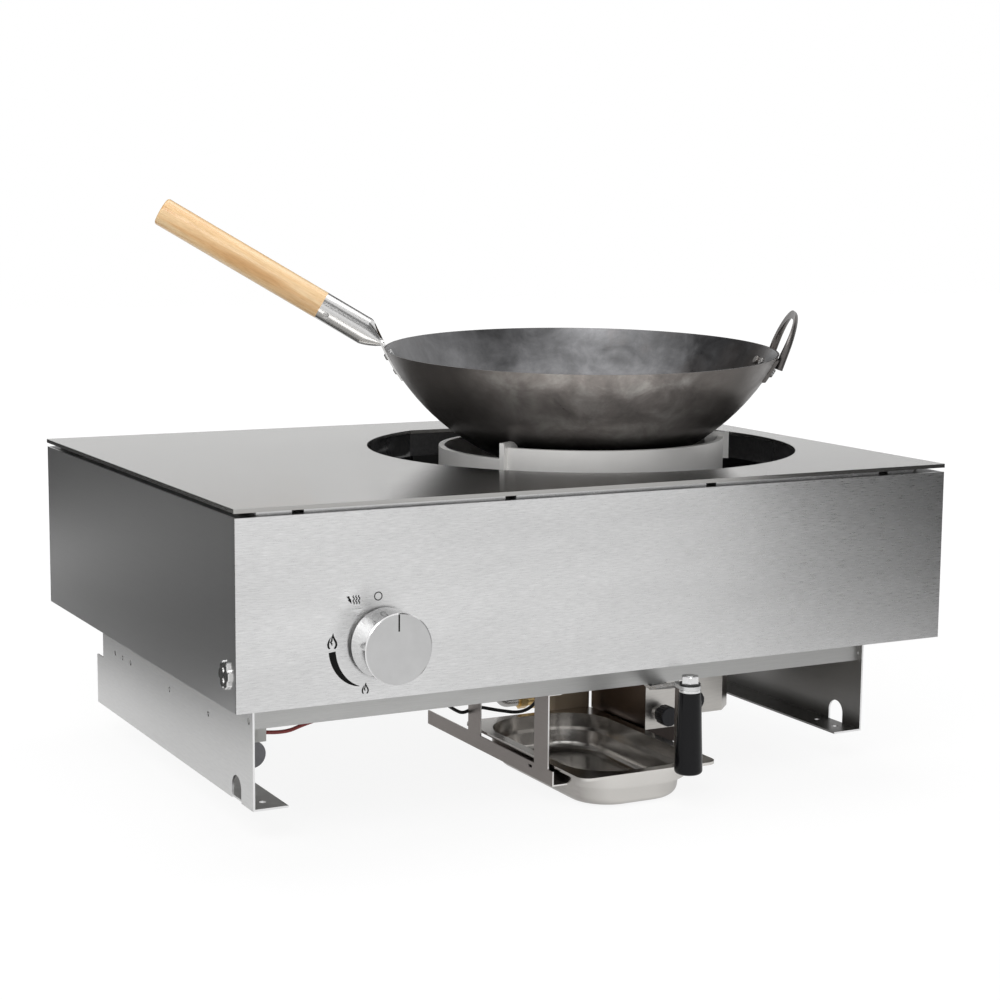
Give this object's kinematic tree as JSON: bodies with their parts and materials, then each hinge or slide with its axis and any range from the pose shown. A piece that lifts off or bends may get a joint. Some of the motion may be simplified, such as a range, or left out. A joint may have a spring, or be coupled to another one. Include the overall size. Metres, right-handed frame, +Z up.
{
  "type": "built-in wok burner",
  "caption": "Built-in gas wok burner in steel with a lift-off ring, carbon steel wok, control knob, lever and drip pan on side brackets.",
  "frame": {"origin": "centre of the four foot holes, at the underside of the bracket foot flanges", "axes": "+X to the user's right at the front, +Y to the back, +Z up"},
  "size_m": [0.8038, 0.635, 0.6079],
  "materials": {
    "plate_steel": "satin",
    "panel_steel": "brushed",
    "inner_steel": "satin",
    "spacer_steel": "satin",
    "zinc_steel": "satin",
    "screw_steel": "polished",
    "tray_steel": "satin",
    "black_enamel": "gloss",
    "cast_alloy": "cast",
    "cast_iron": "matte",
    "brass": "satin",
    "pipe_steel": "satin",
    "grey_cast": "matte",
    "copper": "satin",
    "ceramic": "glazed",
    "light_plastic": "matte",
    "black_cable": "matte",
    "polished_steel": "polished",
    "box_steel": "satin",
    "dark_cover": "satin",
    "rail_steel": "satin",
    "knob_metal": "brushed",
    "black_mark": "matte",
    "lever_steel": "satin",
    "black_rubber": "matte",
    "grip_plastic": "gloss",
    "trim_plastic": "satin",
    "pan_steel": "satin",
    "ring_steel": "satin",
    "wok_steel": "satin",
    "rivet_steel": "satin",
    "loop_steel": "satin",
    "beech": "satin"
  },
  "bodies": {
    "chassis": {"top_plate": "plate_steel", "front_panel": "panel_steel", "left_panel": "panel_steel", "right_panel": "panel_steel", "back_panel": "panel_steel", "carrier_frame": "inner_steel", "gap_spacers": "spacer_steel", "left_bracket": "zinc_steel", "right_bracket": "zinc_steel", "frame_screws": "screw_steel", "base_tray": "tray_steel", "burner_bowl": "black_enamel", "burner_body": "cast_alloy", "burner_head": "cast_iron", "burner_crown": "cast_iron", "injector": "brass", "jet_pipe": "pipe_steel", "throttle_valve": "brass", "feed_pipe": "pipe_steel", "valve_bracket": "zinc_steel", "gas_valve": "brass", "supply_pipe": "pipe_steel", "supply_elbow": "grey_cast", "riser_pipe": "pipe_steel", "inlet_fitting": "brass", "pipe_clips": "zinc_steel", "thermocouple": "copper", "ignition_electrode": "ceramic", "igniter_box": "light_plastic", "ignition_lead": "black_cable", "knob_bezel": "polished_steel", "valve_box": "box_steel", "side_box": "box_steel", "lower_cover": "dark_cover", "trim_bushes": "pipe_steel", "left_rail": "rail_steel", "right_rail": "rail_steel", "side_rosettes": "polished_steel"},
    "knob_sleeve": {"push_collar": "brass"},
    "knob": {"valve_stem": "pipe_steel", "knob": "knob_metal", "knob_pointer": "black_mark"},
    "lever": {"lever_bar": "lever_steel", "throttle_spindle": "lever_steel", "grip_nut": "screw_steel", "upper_washer": "black_rubber", "grip_bolt": "screw_steel"},
    "grip": {"lever_grip": "grip_plastic"},
    "trim_left": {"trim_spindle_left": "pipe_steel", "trim_knob_left": "trim_plastic"},
    "trim_right": {"trim_spindle_right": "pipe_steel", "trim_knob_right": "trim_plastic"},
    "drip_pan": {"drip_pan": "pan_steel"},
    "wok_ring": {"wok_ring": "ring_steel", "ring_lugs": "ring_steel"},
    "wok": {"wok_bowl": "wok_steel", "wok_socket": "polished_steel", "wok_handle": "beech", "wok_rivets": "rivet_steel", "loop_handle": "loop_steel"}
  },
  "joints": [
    {"name": "knob_push", "type": "slide", "parent": "chassis", "child": "knob_sleeve", "axis": [0, 1, 0], "range_m": [0, 0.004], "stiffness_N_per_m": 1500},
    {"name": "knob_turn", "type": "hinge", "parent": "knob_sleeve", "child": "knob", "pos_m": [-0.2545, -0.32, 0.1686], "axis": [0, -1, 0], "range_deg": [0, 160]},
    {"name": "lever_swing", "type": "hinge", "parent": "chassis", "child": "lever", "pos_m": [0.1028, -0.203, 0.073], "axis": [0, 0, 1], "range_deg": [0, 35]},
    {"name": "grip_spin", "type": "hinge", "parent": "lever", "child": "grip", "pos_m": [0.077, -0.311, 0.047], "axis": [0, 0, 1], "continuous": true},
    {"name": "trim_left_turn", "type": "hinge", "parent": "chassis", "child": "trim_left", "pos_m": [0.162, -0.13, 0.017], "axis": [0, -1, 0], "range_deg": [0, 270]},
    {"name": "trim_right_turn", "type": "hinge", "parent": "chassis", "child": "trim_right", "pos_m": [0.222, -0.09, 0.02], "axis": [0, -1, 0], "range_deg": [0, 270]},
    {"name": "pan_slide", "type": "slide", "parent": "chassis", "child": "drip_pan", "axis": [0, -1, 0], "range_m": [0, 0.28]},
    {"name": "ring_lift", "type": "slide", "parent": "chassis", "child": "wok_ring", "axis": [0, 0, 1], "range_m": [0, 0.1]},
    {"name": "wok_lift", "type": "slide", "parent": "wok_ring", "child": "wok", "axis": [0, 0, 1], "range_m": [0, 0.15]}
  ]
}
